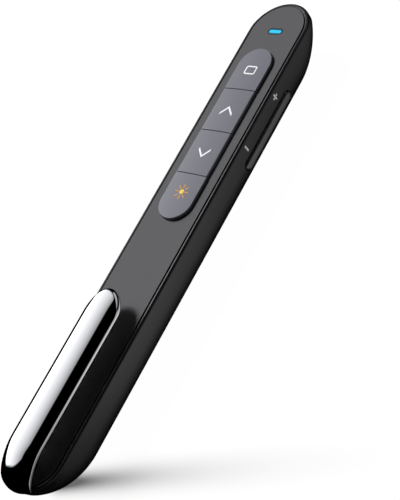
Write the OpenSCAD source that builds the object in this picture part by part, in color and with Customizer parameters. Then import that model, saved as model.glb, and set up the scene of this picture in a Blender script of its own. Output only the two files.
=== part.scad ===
// Slim wireless presentation clicker: four keys in one strip, a volume rocker, a pocket
// clip, a power slider, an AAA cell and a USB receiver kept in a bay in the back.
// Frame: +Y points to the nose, +X to the volume rocker, +Z out of the button face.
// The clicker lies on its back at z = 0, centred on the origin.

/* [Body] */
// Length of the body, nose to tail
body_l = 165; // [163:0.5:175]
// Width of the body
body_w = 22; // [21.8:0.1:24]
// Depth of the body, back to button face
body_t = 14.6; // [14.6:0.1:16]
// Radius of the two long edges of the back
back_r = 9; // [8.5:0.25:9.5]
// Radius of the rim's outer edge
rim_r = 0.8; // [0.5:0.1:0.9]
// Radius of the bow where the back rises to the nose
nose_bow_r = 22.5; // [21.5:0.5:24]
// Radius of the bow where the back rises to the tail
tail_bow_r = 19.5; // [19:0.5:21]
// Height of the lip that is left at both tips
tip_lip = 0.8; // [0.7:0.1:1.2]
// Wall thickness of the lower case and the battery cover
wall = 1.6; // [1.4:0.1:1.7]

/* [Face plate] */
// Thickness of the face plate
plate_t = 1.55; // [1.35:0.1:1.65]
// How far the plate stands out of the rim
plate_rise = 0.15; // [0.1:0.05:0.2]
// Width of the rim round the plate and its groove
rim_w = 1.25; // [1.15:0.05:1.35]
// Width of the groove between rim and plate
groove_w = 0.35; // [0.25:0.05:0.45]
// Width of the ledge that the plate rests on
ledge_w = 1.15; // [0.95:0.1:1.25]
// Height of the ledge
ledge_h = 1; // [0.8:0.1:1.1]

/* [Keys] */
// Width of the keys
key_w = 11.9; // [11:0.1:12.4]
// Length of the key strip
strip_l = 61; // [58:0.5:61.5]
// Distance from the nose tip to the near end of the strip
strip_from_nose = 18.9; // [18.9:0.1:20]
// How far the keys stand out of the face
key_rise = 1.35; // [1:0.05:1.5]
// Gap round the strip
key_gap = 0.2; // [0.15:0.05:0.3]
// Gap between neighbouring keys
key_split = 0.25; // [0.2:0.05:0.4]
// Travel of a key
key_travel = 0.5; // [0.3:0.05:0.6]
// Width of the flange that keeps a key under the plate
key_flange = 0.6; // [0.5:0.1:0.8]
// Thickness of that flange
flange_t = 0.7; // [0.6:0.05:0.8]

/* [Status window] */
// Length of the status window, across the body
led_l = 5.6; // [5:0.1:6.5]
// Width of the status window
led_w = 2.3; // [2:0.1:2.8]
// Distance from the nose tip to its centre
led_from_nose = 11.3; // [11:0.1:12]

/* [Volume rocker] */
// Length of the rocker
rocker_l = 28; // [26:0.5:29]
// Height of the rocker
rocker_h = 3.2; // [2.8:0.1:3.3]
// How far the rocker stands out of the side
rocker_rise = 0.75; // [0.5:0.05:1]
// Depth of its centre line below the face
rocker_below_face = 6.6; // [6.5:0.05:6.8]
// Distance from the nose tip to its centre
rocker_from_nose = 41.9; // [41:0.5:43]

/* [Power slider] */
// Length of the slider's knob
slider_l = 5; // [4.5:0.5:6]
// Height of the knob
slider_h = 2.6; // [2.4:0.1:3]
// How far the knob stands out of the side
slider_rise = 0.75; // [0.5:0.05:1]
// Travel of the slider, off to on
slider_travel = 2.5; // [2:0.1:3]
// Distance from the nose tip to the knob, switched off
slider_from_nose = 62; // [60:0.5:64]

/* [Clip] */
// Width of the clip
clip_w = 12.4; // [11.5:0.1:13]
// Length of the clip along the body, tip to tail
clip_l = 58.8; // [57:0.2:60]
// Gap between the rim's top and the clip
clip_gap = 4.25; // [4.2:0.05:4.8]
// Thickness of the clip in the middle
clip_t = 2.7; // [2.5:0.1:2.9]
// Length of the round tip
clip_tip_l = 8; // [7:0.5:9]
// How far the tip's underside turns up
clip_lift = 2; // [1.5:0.1:2.1]
// Length of the bend over the tail, outside
clip_bend_l = 12; // [11.5:0.1:12.5]
// How far the bend reaches past the tail
clip_past_tail = 0.6; // [0.3:0.1:0.7]
// Play of the clip's foot in its socket
clip_play = 0.35; // [0.32:0.01:0.4]

/* [Laser] */
// Radius of the laser barrel
barrel_r = 2.5; // [2.2:0.1:2.6]
// Length of the laser barrel
barrel_l = 13; // [11:0.5:13]
// Radius of the laser exit in the nose
laser_exit_r = 1.6; // [1.3:0.1:1.7]
// Height of the laser axis above the back
laser_z = 7; // [6.9:0.1:7.2]

/* [Cell and receiver] */
// Diameter of the AAA cell
cell_d = 10.5; // [10:0.1:10.5]
// Length of the AAA cell with its nub
cell_l = 44.5; // [43:0.5:44.5]
// Width of the battery cover
cover_w = 15.2; // [14.8:0.1:15.4]
// Width of the receiver's cap
dongle_w = 13.6; // [13:0.1:13.8]
// Thickness of the receiver's cap
dongle_t = 5.5; // [5:0.1:5.6]
// Length of the receiver's cap
dongle_cap_l = 6.6; // [6:0.1:6.8]
// Length of the receiver's USB plug
plug_l = 12; // [11.5:0.1:12]

/* [Hidden] */
$fn = 64;
eps = 0.01;
face_gap = 0.1;
seat_gap = 0.3;
side_gap = 0.25;
fit_gap = 0.05;
rib_t = 1.2;

half_l = body_l / 2;
half_w = body_w / 2;
end_y = half_l - half_w;
face_z = body_t;
plate_top_z = face_z + plate_rise;
plate_z = plate_top_z - plate_t;
ledge_z = plate_z - ledge_h;
inner_w = half_w - wall;
ledge_half = half_w - rim_w - ledge_w;
function bow_start(r) = half_l - sqrt(pow(r, 2) - pow(r - body_t + tip_lip, 2));
nose_bow_y = bow_start(nose_bow_r);
tail_bow_y = -bow_start(tail_bow_r);

// Snap hooks under the face plate
hooks_from_nose = [20.5, 68.5, 90.5, 138.5];
hook_t = 0.8;
hook_l = 4;
hook_catch = 0.4;
hook_h = 0.6;

// Keys and board, stacked down from the plate
KEYS = ["key_blank", "key_page_up", "key_page_down", "key_laser"];
key_pitch = strip_l / len(KEYS);
strip_y = half_l - strip_from_nose - strip_l / 2;
key_top_z = face_z + key_rise;
flange_gap = 0.15;
flange_top_z = plate_z - flange_gap;
flange_z = flange_top_z - flange_t;
dome_r = 2.5;
dome_crown_r = 1.75;
dome_h = 0.55;
board_t = 1;
board_side_gap = 1.4;
board_half = inner_w - board_side_gap;
board_edge_gap = 0.8;
board_from_nose = 9;
board_past_keys = 4.3;
board_top_z = flange_z - key_travel - face_gap - dome_h;
board_z = board_top_z - board_t;
board_nose_y = half_l - board_from_nose;
board_tail_y = strip_y - strip_l / 2 - board_past_keys;
board_screw_r = 0.7;
board_screw_l = 5.6;
board_screw_head_r = 1.3;
board_screw_head_h = 0.8;
board_screw_inset = 2.8;
board_screw_x = board_half - board_screw_inset;
screws_past_keys = [2.9, 2.5];
board_screw_ys = [strip_y + strip_l / 2 + screws_past_keys[0],
    strip_y - strip_l / 2 - screws_past_keys[1]];
post_r = 1.7;

// What the board carries
led_y = half_l - led_from_nose;
led_chip = [3.2, 1.6, 0.9];
led_light_gap = 0.2;
radio_chip_size = [5, 5, 0.9];
radio_chip_x = -1;
crystal_size = [3.2, 2.5, 1.2];
crystal_x = -1.6;
crystal_gap = 3.6;
slide_switch_size = [3.2, 6.8, 3];
volume_switch_size = [3.5, 4.5, 3];
volume_switch_y = 10;
plunger_r = 0.9;
plunger_l = 0.2;
plunger_gap = 0.45;

// Volume rocker, its pegs and the lugs that hold them
rocker_y = half_l - rocker_from_nose;
rocker_z = face_z - rocker_below_face;
rocker_setback = 1;
rocker_x = inner_w - rocker_setback;
rocker_web = 0.35;
rocker_lip = 0.4;
rocker_play = 0.2;
rocker_web_h = rocker_h + 2 * rocker_lip;
rocker_pocket_h = rocker_web_h + 2 * rocker_play;
rocker_pocket_l = rocker_l + 2.4;
hub_r = 1;
peg_r = 0.6;
peg_h = 0.9;
lug_h = 1;
lug_half = 1.6;
pocket_depth = 1.2;
pocket_into_wall = 0.15;
pocket_x = inner_w + pocket_into_wall;

// Power slider, on the other side
slider_y = half_l - slider_from_nose;
slider_z = rocker_z;
slider_lip = 0.65;
slider_web = 0.7;
slider_nub = 1.2;
grip_pitch = 1.1;
grip_w = 0.5;
slide_switch_setback = 0.2;
slide_switch_x = board_half - slide_switch_setback;

// Battery compartment, laid out towards the tail from the board's end
contact_t = 0.4;
contact_half = 5;
contact_foot = 1;
tab_half = 1.5;
bulkhead_top_z = board_top_z - contact_t;
board_end_gap = 0.2;
front_bulkhead_y = board_tail_y - board_end_gap - rib_t;
cell_front_y = front_bulkhead_y - contact_t - face_gap;
cell_tail_y = cell_front_y - cell_l;
cell_nub_r = 1.9;
cell_nub_h = 0.8;
spring_l = 3.2;
spring_wire_r = 0.3;
spring_r = 3.6;
spring_taper = 0.25;
spring_turns = 7;
rear_bulkhead_y = cell_tail_y - spring_l - contact_t - rib_t;
cell_z = wall + seat_gap + cell_d / 2;
cover_y0 = rear_bulkhead_y + rib_t / 2;
cover_y1 = front_bulkhead_y + rib_t / 2;
cover_top_z = back_r / 2 + wall;
cover_grip = [7, 0.7, 1];
cover_grip_pitch = 1.6;
cover_grip_from_end = 4;
lead_hook_gap = 0.5;
lead_x = ledge_half - face_gap - hook_t - lead_hook_gap;
lead_w = 0.3;
lead_h = 1.2;
lead_overlap = 2;

// Receiver bay, behind the battery compartment
plug_w = 12;
plug_t = 4.5;
plug_wall = 0.3;
latch_window = 2;
latch_window_x = 2.5;
latch_from_tip = 5.5;
tongue_t = 1.8;
tongue_setback = 0.8;
pin_w = 1.1;
pin_pitch = 2.3;
pin_l = plug_l - 4;
cap_groove_w = 0.6;
cap_groove_pitch = 1.4;
dongle_setback = 1.65;
dongle_z = dongle_setback + dongle_t / 2;
bay_half = dongle_w / 2 + side_gap;
bay_y1 = rear_bulkhead_y;
bay_y0 = bay_y1 - 2 * side_gap - dongle_cap_l - plug_l;
bay_top_z = dongle_z + dongle_t / 2 + seat_gap;
cap_y1 = bay_y1 - side_gap;
cap_y0 = cap_y1 - dongle_cap_l;

// Clip, its foot and the socket that holds it
foot_l = 4.4;
foot_half = 2.8;
foot_h = 4;
foot_from_tail = 6;
foot_y = -half_l + foot_from_tail;
socket_wall = 1.6;
clip_r = clip_w / 2;
clip_tip_y = -half_l + clip_l;
clip_tail_y = -half_l - clip_past_tail;
clip_z = face_z + clip_gap;
clip_side = 0.5;
clip_lift_l = 7;
clip_bend_t = 1.2;
bend_power = 1.25;
dome_step = 7.5;
lift_step = 0.2;
clip_top_z = clip_z + clip_t;
clip_screw_r = 0.8;
clip_screw_head_r = 1.6;
clip_screw_head_h = 1.2;
clip_screw_grip = 3.2;
clip_screw_head_z = face_z - foot_h - clip_screw_grip;

// Laser, in line with the bore through the nose
barrel_past_bow = 10.2;
barrel_y1 = nose_bow_y + barrel_past_bow;
barrel_y0 = barrel_y1 - barrel_l;
barrel_wall = 0.4;
barrel_bore_r = barrel_r - barrel_wall;
barrel_front_t = 0.8;
barrel_eye_r = 1.2;
cradle_t = 1.4;
cradle_side = 1;
cradle_from_ends = [2.2, 1.6];
cradle_ys = [barrel_y0 + cradle_from_ends[0], barrel_y1 - cradle_from_ends[1]];
nose_boss_t = 1.2;
lens_t = 1.55;
lens_seat_gap = 0.05;
window_t = 0.8;
window_gap = 2;
diode_l = 3;
diode_out = 0.6;
diode_pin_r = 0.22;
diode_pin_l = 3;

// ---- shared shapes ----

// Outline with round ends along Y
module stadium(r, l) {
    square([2 * r, l - 2 * r], center = true);
    for (s = [-1, 1]) translate([0, s * (l / 2 - r)]) circle(r);
}

// Plan outline of the body, shrunk by inset
module plan(inset) {
    stadium(half_w - inset, body_l - 2 * inset);
}

// Right half of the body's cross-section, shrunk by inset
module half_section(inset) {
    w = half_w - inset;
    br = back_r - inset;
    tr = max(rim_r - inset, 0.05);
    translate([0, inset]) square([w - br, body_t - inset]);
    translate([0, back_r]) square([w, body_t - back_r - tr]);
    translate([0, back_r]) square([w - tr, body_t - back_r]);
    intersection() {
        translate([w - br, back_r]) circle(br);
        translate([0, inset]) square([w, body_t]);
    }
    translate([w - tr, body_t - tr]) circle(tr);
}

// Straight length of the body between y0 and y1
module straight(inset, y0, y1) {
    translate([0, y1, 0]) rotate([90, 0, 0]) linear_extrude(y1 - y0) {
        half_section(inset);
        mirror([1, 0]) half_section(inset);
    }
}

// Disc on an axis along X, whose rim has the cross-section of the back
module bow_disc(r, inset) {
    w = half_w - inset;
    br = back_r - inset;
    rotate([0, 90, 0]) rotate_extrude($fn = 160) {
        translate([0, -w]) square([r - back_r, 2 * w]);
        translate([0, -w + br]) square([r - inset, 2 * (w - br)]);
        for (s = [-1, 1]) translate([r - back_r, s * (w - br)]) circle(br);
    }
}

// Whole body, shrunk by inset: a round-ended bar cut by the bows of nose and tail
module envelope(inset) {
    intersection() {
        union() {
            straight(inset, -end_y, end_y);
            for (s = [-1, 1]) translate([0, s * end_y, 0])
                rotate_extrude($fn = 96) half_section(inset);
        }
        union() {
            translate([-half_w, tail_bow_y, 0]) cube([body_w, nose_bow_y - tail_bow_y, body_t]);
            translate([0, nose_bow_y, nose_bow_r]) bow_disc(nose_bow_r, inset);
            translate([0, tail_bow_y, tail_bow_r]) bow_disc(tail_bow_r, inset);
        }
    }
}

// Box given by its two corners
module box(low, high) {
    translate(low) cube(high - low);
}

// Round-ended bar along Y, cut out along X from x0 to x1
module side_bar(x0, x1, h, l) {
    translate([x0, 0, 0]) rotate([90, 0, 90]) linear_extrude(x1 - x0) rotate(90) stadium(h / 2, l);
}

// ---- shells ----

// Tub with back, sides and rim, its ribs, sockets and cut-outs
module lower_case() {
    color("#2b2b2d") difference() {
        union() {
            difference() {
                envelope(0);
                intersection() {
                    envelope(wall);
                    box([-half_w, -half_l, 0], [half_w, half_l, ledge_z]);
                }
                translate([0, 0, ledge_z - eps]) linear_extrude(body_t) plan(rim_w + ledge_w);
                translate([0, 0, plate_z]) linear_extrude(body_t) plan(rim_w);
                battery_opening();
            }
            difference() {
                union() {
                    intersection() {
                        case_ribs();
                        envelope(wall / 2);
                    }
                    battery_rails();
                }
                cover_space();
            }
        }
        rocker_cuts();
        slider_cuts();
        laser_cuts();
        box([-bay_half, bay_y0, -1], [bay_half, bay_y1, bay_top_z]);
        clip_socket_cuts();
        board_screw_holes();
    }
}

// Posts, cradles, bulkheads, bay walls, the clip's socket and the rocker's lugs
module case_ribs() {
    for (x = [-1, 1], y = board_screw_ys)
        translate([x * board_screw_x, y, 0]) cylinder(h = board_z, r = post_r);
    for (y = cradle_ys)
        box([-barrel_r - cradle_side, y - cradle_t / 2, 0],
            [barrel_r + cradle_side, y + cradle_t / 2, laser_z]);
    along_y(barrel_y1 + 0.2, half_l, laser_exit_r + nose_boss_t);
    for (y = [front_bulkhead_y, rear_bulkhead_y])
        box([-half_w, y, 0], [half_w, y + rib_t, bulkhead_top_z]);
    box([-bay_half - rib_t, bay_y0 - rib_t, 0], [bay_half + rib_t, bay_y1, bay_top_z + rib_t]);
    box([-foot_half - socket_wall, -half_l, 0],
        [foot_half + socket_wall, foot_y + foot_l / 2 + socket_wall, plate_z]);
    for (s = [-1, 1]) translate([0, rocker_y, rocker_z + s * (rocker_pocket_h + lug_h) / 2])
        box([rocker_x - lug_half, -lug_half, -lug_h / 2], [half_w, lug_half, lug_h / 2]);
}

// Pilot holes of the board's screws, down the posts
module board_screw_holes() {
    for (x = [-1, 1], y = board_screw_ys)
        translate([x * board_screw_x, y, board_z - board_screw_l])
            cylinder(h = board_screw_l + eps, r = board_screw_r + fit_gap);
}

// Opening in the back for the cell
module battery_opening() {
    box([-cover_w / 2 - side_gap, cover_y0 - side_gap, -1],
        [cover_w / 2 + side_gap, cover_y1 + side_gap, cover_top_z]);
}

// The part of that opening which the cover fills
module cover_space() {
    difference() {
        battery_opening();
        straight(wall + face_gap, cover_y0 - 2, cover_y1 + 2);
    }
}

// Two rails along the opening, on which the cover seats and between which the cell lies
module battery_rails() {
    intersection() {
        straight(wall / 2, cover_y0 - 1, cover_y1 + 1);
        for (s = [0, 1]) mirror([s, 0, 0])
            box([cell_d / 2 + side_gap, cover_y0 - 1, 0], [half_w, cover_y1 + 1, cell_z]);
    }
}

// Slot, pocket and peg holes of the volume rocker
module rocker_cuts() {
    translate([0, rocker_y, rocker_z]) {
        side_bar(rocker_x, half_w + 1, rocker_h + 2 * side_gap, rocker_l + 2 * side_gap);
        box([rocker_x - pocket_depth, -rocker_pocket_l / 2, -rocker_pocket_h / 2],
            [pocket_x, rocker_pocket_l / 2, rocker_pocket_h / 2]);
        translate([rocker_x, 0, 0])
            cylinder(h = rocker_web_h + 2 * peg_h + face_gap, r = peg_r + fit_gap, center = true);
    }
}

// Slot and pocket of the power slider, long enough for its travel
module slider_cuts() {
    pocket_h = slider_h + 2 * (slider_lip + seat_gap);
    pocket_l = slider_l + slider_travel + 2 * (slider_lip + seat_gap);
    translate([0, slider_y + slider_travel / 2, slider_z]) mirror([1, 0, 0]) {
        side_bar(rocker_x, half_w + 1, slider_h + 2 * side_gap,
            slider_l + slider_travel + 2 * side_gap);
        box([rocker_x - pocket_depth, -pocket_l / 2, -pocket_h / 2],
            [pocket_x, pocket_l / 2, pocket_h / 2]);
    }
}

// Bore through the nose, and the barrel's bed in its cradles
module laser_cuts() {
    along_y(barrel_y0, half_l + 1, laser_exit_r);
    along_y(barrel_y0 - 1, barrel_y1 + 0.2, barrel_r + fit_gap);
}

// Socket for the clip's foot, and the hole of its screw
module clip_socket_cuts() {
    box([-foot_half - clip_play, foot_y - foot_l / 2 - clip_play, face_z - foot_h - clip_play],
        [foot_half + clip_play, foot_y + foot_l / 2 + clip_play, body_t + 1]);
    translate([0, foot_y, 0]) cylinder(h = face_z, r = clip_screw_r + fit_gap);
    translate([0, foot_y, 0])
        cylinder(h = clip_screw_head_z + clip_screw_head_h, r = clip_screw_head_r + fit_gap);
}

// Matte cover let into the rim, with the openings for keys, window and clip foot
module face_plate() {
    color("#66676a") difference() {
        union() {
            translate([0, 0, plate_z]) linear_extrude(plate_t) plan(rim_w + groove_w);
            for (s = [0, 1], d = hooks_from_nose) plate_hook(s, half_l - d);
        }
        translate([0, strip_y, 0]) linear_extrude(2 * body_t) strip(key_gap);
        translate([0, led_y, 0]) linear_extrude(2 * body_t) rotate(90)
            stadium(led_w / 2 + fit_gap, led_l + 2 * fit_gap);
        box([-foot_half - clip_play, foot_y - foot_l / 2 - clip_play, 0],
            [foot_half + clip_play, foot_y + foot_l / 2 + clip_play, 2 * body_t]);
    }
}

// Snap hook under the plate that catches below the ledge
module plate_hook(side, y) {
    x = ledge_half - face_gap;
    low_z = ledge_z - face_gap - hook_h;
    mirror([side, 0, 0]) {
        box([x - hook_t, y - hook_l / 2, low_z], [x, y + hook_l / 2, plate_z + eps]);
        box([x - hook_t, y - hook_l / 2, low_z], [x + hook_catch, y + hook_l / 2, low_z + hook_h]);
    }
}

// Shallow trough that closes the battery compartment, with three grip grooves
module battery_cover() {
    color("#29292b") difference() {
        intersection() {
            difference() {
                straight(0, cover_y0, cover_y1);
                straight(wall, cover_y0 - 1, cover_y1 + 1);
            }
            box([-cover_w / 2, cover_y0, 0], [cover_w / 2, cover_y1, cover_top_z]);
        }
        for (i = [0 : 2]) translate([0, cover_y1 - cover_grip_from_end - cover_grip_pitch * i, 0])
            cube(cover_grip, center = true);
    }
}

// ---- keys ----

// Outline of the key strip, grown by g
module strip(g) {
    stadium(key_w / 2 + g, strip_l + 2 * g);
}

// Part of the strip that belongs to key i, counted from the nose
module key_outline(i, g) {
    over = 2 * key_flange;
    top = strip_l / 2 - i * key_pitch - (i == 0 ? -over : key_split / 2);
    low = strip_l / 2 - (i + 1) * key_pitch + (i == len(KEYS) - 1 ? -over : key_split / 2);
    intersection() {
        strip(g);
        translate([-key_w, low]) square([2 * key_w, top - low]);
    }
}

module key(i) {
    color("#7f8088") translate([0, strip_y, 0]) {
        translate([0, 0, flange_z]) linear_extrude(key_top_z - flange_z) key_outline(i, 0);
        translate([0, 0, flange_z]) linear_extrude(flange_t) key_outline(i, key_flange);
    }
}

module led_lens() {
    low_z = board_top_z + led_chip.z + led_light_gap;
    color("#36d7ff") translate([0, led_y, low_z])
        linear_extrude(plate_top_z - low_z) rotate(90) stadium(led_w / 2, led_l);
}

// ---- side controls ----

// Bar that stands out of the side, a web behind the wall and two pegs to rock on
module volume_rocker() {
    color("#3a3a3c") translate([0, rocker_y, rocker_z]) {
        side_bar(rocker_x, half_w + rocker_rise, rocker_h, rocker_l);
        side_bar(rocker_x - rocker_web, rocker_x + rocker_web, rocker_web_h, rocker_l + 2 * rocker_lip);
        translate([rocker_x, 0, 0]) cylinder(h = rocker_web_h, r = hub_r, center = true);
        translate([rocker_x, 0, 0]) cylinder(h = rocker_web_h + 2 * peg_h, r = peg_r, center = true);
    }
}

// Knob, a web that holds it behind the wall and a nub that enters the slide switch
module power_slider() {
    web_x = pocket_x - face_gap;
    color("#3a3a3c") translate([0, slider_y, slider_z]) mirror([1, 0, 0]) {
        difference() {
            side_bar(web_x - slider_web, half_w + slider_rise, slider_h, slider_l);
            for (i = [-1 : 1]) translate([half_w + slider_rise, i * grip_pitch, 0])
                cube([grip_w, grip_w, slider_h], center = true);
        }
        side_bar(web_x - slider_web, web_x, slider_h + 2 * slider_lip, slider_l + 2 * slider_lip);
        box([slide_switch_x + face_gap, -slider_nub / 2, -slider_nub / 2],
            [web_x, slider_nub / 2, slider_nub / 2]);
    }
}

// ---- clip ----

// Half of an ellipse round the point x, y, from its right end to its left
function dome_points(x, y, w, h) = [for (a = [0 : dome_step : 180]) [x + w * cos(a), y + h * sin(a)]];

// Bend round the point y, z, flatter on top than an ellipse, from angle a0 to a1
function bend_points(y, z, l, h, a0, a1, step) =
    [for (a = [a0 : step : a1]) [y + l * pow(cos(a), bend_power), z + h * pow(sin(a), bend_power)]];

// Underside of the tip, which turns up towards y
function lift_points(y) =
    [for (t = [1 : -lift_step : 0]) [y - clip_lift_l * (1 - t), clip_z + clip_lift * pow(t, 2)]];

// Profile along Y, extruded over the clip's width
module clip_profile(points) {
    rotate([90, 0, 90]) linear_extrude(clip_w + 2, center = true) polygon(points);
}

// Plan of the clip: a round tip, straight sides and an end concentric with the body's
module clip_plan() {
    intersection() {
        polygon(concat([[-clip_r, 2 * clip_tail_y], [clip_r, 2 * clip_tail_y]],
            dome_points(0, clip_tip_y - clip_tip_l, clip_r, clip_tip_l)));
        plan(-clip_past_tail);
    }
}

// Domed bar with a round tip, bent down over the tail, with a foot for its screw
module clip() {
    side_z = clip_z + clip_side;
    bend_y = clip_tail_y + clip_bend_l;
    low_z = face_z + clip_play;
    color("#c9cacc") difference() {
        union() {
            intersection() {
                translate([0, clip_tip_y, 0]) rotate([90, 0, 0])
                    linear_extrude(clip_tip_y - clip_tail_y) polygon(
                        concat([[-clip_r, low_z], [clip_r, low_z]],
                            dome_points(0, side_z, clip_r, clip_t - clip_side)));
                translate([0, 0, low_z]) linear_extrude(clip_top_z) clip_plan();
                clip_profile(concat([[clip_tail_y, low_z]],
                    bend_points(bend_y, low_z, -clip_bend_l, clip_top_z - low_z, 0, 90, dome_step),
                    [[clip_tip_y + 1, clip_top_z], [clip_tip_y + 1, low_z]]));
            }
            clip_foot();
        }
        difference() {
            clip_profile(concat([[clip_tip_y + 1, low_z - 1], [clip_tip_y + 1, clip_z + clip_lift]],
                lift_points(clip_tip_y),
                bend_points(bend_y, face_z, clip_bend_t - clip_bend_l, clip_gap, 90, 0, -dome_step),
                [[clip_tail_y + clip_bend_t, low_z - 1]]));
            clip_foot();
        }
        translate([0, foot_y, face_z - foot_h - eps])
            cylinder(h = foot_h + 1, r = clip_screw_r + clip_play);
    }
}

// Block between the clip and the bottom of its socket
module clip_foot() {
    box([-foot_half, foot_y - foot_l / 2, face_z - foot_h], [foot_half, foot_y + foot_l / 2, clip_z]);
}

module clip_screw() {
    color("silver") translate([0, foot_y, clip_screw_head_z]) {
        cylinder(h = clip_screw_head_h, r = clip_screw_head_r);
        cylinder(h = foot_h + 2, r = clip_screw_r);
    }
}

// ---- board and what it carries ----

// Board cut to the body's plan, with a notch for the rocker's lugs
module main_board() {
    color("#1f6b3a") difference() {
        translate([0, 0, board_z]) linear_extrude(board_t) intersection() {
            plan(wall + board_edge_gap);
            translate([-board_half, board_tail_y]) square([2 * board_half, board_nose_y - board_tail_y]);
        }
        for (x = [-1, 1], y = board_screw_ys)
            translate([x * board_screw_x, y, 0]) cylinder(h = body_t, r = board_screw_r + fit_gap);
        box([rocker_x - lug_half - seat_gap, rocker_y - lug_half - seat_gap, 0],
            [half_w, rocker_y + lug_half + seat_gap, body_t]);
    }
}

module board_screws() {
    color("silver") for (x = [-1, 1], y = board_screw_ys)
        translate([x * board_screw_x, y, board_top_z]) {
            cylinder(h = board_screw_head_h, r = board_screw_head_r);
            translate([0, 0, board_screw_head_h - board_screw_l])
                cylinder(h = board_screw_l, r = board_screw_r);
        }
}

// Snap domes on the board, one under each key
module key_domes() {
    color("#b8b8b0") for (i = [0 : len(KEYS) - 1])
        translate([0, strip_y + strip_l / 2 - (i + 0.5) * key_pitch, board_top_z]) {
            cylinder(h = dome_h / 2, r = dome_r);
            cylinder(h = dome_h, r = dome_crown_r);
        }
}

// Two side-push switches under the board, behind the rocker's ends
module volume_switches() {
    x = rocker_x - rocker_web - plunger_gap - plunger_l;
    color("#3c3c3c") for (s = [-1, 1])
        translate([x, rocker_y + s * volume_switch_y, board_z - volume_switch_size.z / 2]) {
            translate([-volume_switch_size.x / 2, 0, 0]) cube(volume_switch_size, center = true);
            rotate([0, 90, 0]) cylinder(h = plunger_l, r = plunger_r);
        }
}

// Block of size hung under the board, centred on x, y
module under_board(size, x, y) {
    translate([x, y, board_z - size.z / 2]) cube(size, center = true);
}

module slide_switch() {
    size = slide_switch_size + [0, slider_travel, 0];
    color("#9a9a9a") under_board(size, -slide_switch_x + size.x / 2, slider_y + slider_travel / 2);
}

module radio_chip() {
    color("#181818") under_board(radio_chip_size, radio_chip_x, strip_y);
}

module crystal() {
    color("silver") under_board(crystal_size, crystal_x,
        strip_y - (radio_chip_size.y + crystal_size.y) / 2 - crystal_gap);
}

module status_led() {
    color("white") translate([0, led_y, board_top_z + led_chip.z / 2]) cube(led_chip, center = true);
}

// ---- laser ----

// Cylinder on the laser's axis
module along_y(y0, y1, r) {
    translate([0, y0, laser_z]) rotate([-90, 0, 0]) cylinder(h = y1 - y0, r = r);
}

module laser_barrel() {
    color("#b08d3c") difference() {
        along_y(barrel_y0, barrel_y1, barrel_r);
        along_y(barrel_y0 - 1, barrel_y1 - barrel_front_t, barrel_bore_r);
        along_y(barrel_y0, barrel_y1 + 1, barrel_eye_r);
    }
}

// Can pressed into the barrel, with its three pins
module laser_diode() {
    color("#c8a850") {
        along_y(barrel_y0 - diode_out, barrel_y0 - diode_out + diode_l, barrel_bore_r - fit_gap);
        for (x = [-1, 0, 1]) translate([x, 0, 0])
            along_y(barrel_y0 - diode_pin_l, barrel_y0, diode_pin_r);
    }
}

module laser_lens() {
    y1 = barrel_y1 - barrel_front_t - lens_seat_gap;
    color("#cfe8ef") along_y(y1 - lens_t, y1, barrel_bore_r - fit_gap);
}

module laser_window() {
    y0 = barrel_y1 + window_gap;
    color("#7a1018") along_y(y0, y0 + window_t, laser_exit_r - fit_gap / 2);
}

// ---- cell and contacts ----

// AAA cell with its nub towards the nose
module battery_cell() {
    color("#35587a") translate([0, cell_tail_y, cell_z]) rotate([-90, 0, 0]) {
        cylinder(h = cell_l - cell_nub_h, r = cell_d / 2);
        cylinder(h = cell_l, r = cell_nub_r);
    }
}

// Plate on the front bulkhead with a tab folded over to the board
module contact_plus() {
    color("#c9c9c0") {
        box([-contact_half, front_bulkhead_y - contact_t, wall + contact_foot],
            [contact_half, front_bulkhead_y, bulkhead_top_z]);
        box([-tab_half, front_bulkhead_y - contact_t, bulkhead_top_z],
            [tab_half, board_tail_y, board_top_z]);
    }
}

// Plate on the rear bulkhead with an ear out to the lead
module contact_minus() {
    y = rear_bulkhead_y + rib_t;
    color("#c9c9c0") {
        box([-contact_half, y, wall + contact_foot], [contact_half, y + contact_t, bulkhead_top_z]);
        box([-lead_x, y, bulkhead_top_z - contact_foot],
            [-contact_half + contact_foot, y + contact_t, board_top_z + lead_h]);
    }
}

// Strip that carries the minus pole over the bulkhead to the board
module battery_lead() {
    color("#c9c9c0") box([-lead_x, rear_bulkhead_y + rib_t + contact_t, board_top_z],
        [-lead_x + lead_w, board_tail_y + lead_overlap, board_top_z + lead_h]);
}

// Cone spring drawn as touching turns, wide at the contact and narrow at the cell
module battery_spring() {
    step = (spring_l - 2 * spring_wire_r) / (spring_turns - 1);
    color("#d0d0cc") translate([0, cell_tail_y - spring_l + spring_wire_r, cell_z])
        rotate([-90, 0, 0]) for (i = [0 : spring_turns - 1]) translate([0, 0, i * step])
            rotate_extrude() translate([spring_r - spring_taper * i, 0])
                circle(spring_wire_r, $fn = 24);
}

// ---- USB receiver ----

// Cap that is gripped to pull the receiver, with three grooves a side
module receiver_cap() {
    color("#232325") difference() {
        box([-dongle_w / 2, cap_y0, dongle_z - dongle_t / 2],
            [dongle_w / 2, cap_y1, dongle_z + dongle_t / 2]);
        for (s = [-1, 1], i = [-1 : 1])
            translate([s * dongle_w / 2, (cap_y0 + cap_y1) / 2 + i * cap_groove_pitch, dongle_z])
                cube([cap_groove_w, cap_groove_w, dongle_t + 1], center = true);
    }
}

// Folded steel shell of the plug, open at the tail end, with two latch windows a side
module receiver_shell() {
    tip_y = cap_y0 - plug_l;
    color("#b9bbbe") difference() {
        box([-plug_w / 2, tip_y, dongle_z - plug_t / 2], [plug_w / 2, cap_y0, dongle_z + plug_t / 2]);
        box([-plug_w / 2 + plug_wall, tip_y - 1, dongle_z - plug_t / 2 + plug_wall],
            [plug_w / 2 - plug_wall, cap_y0 - plug_wall, dongle_z + plug_t / 2 - plug_wall]);
        for (s = [-1, 1]) translate([s * latch_window_x, tip_y + latch_from_tip, dongle_z])
            cube([latch_window, latch_window, plug_t + 1], center = true);
    }
}

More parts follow.
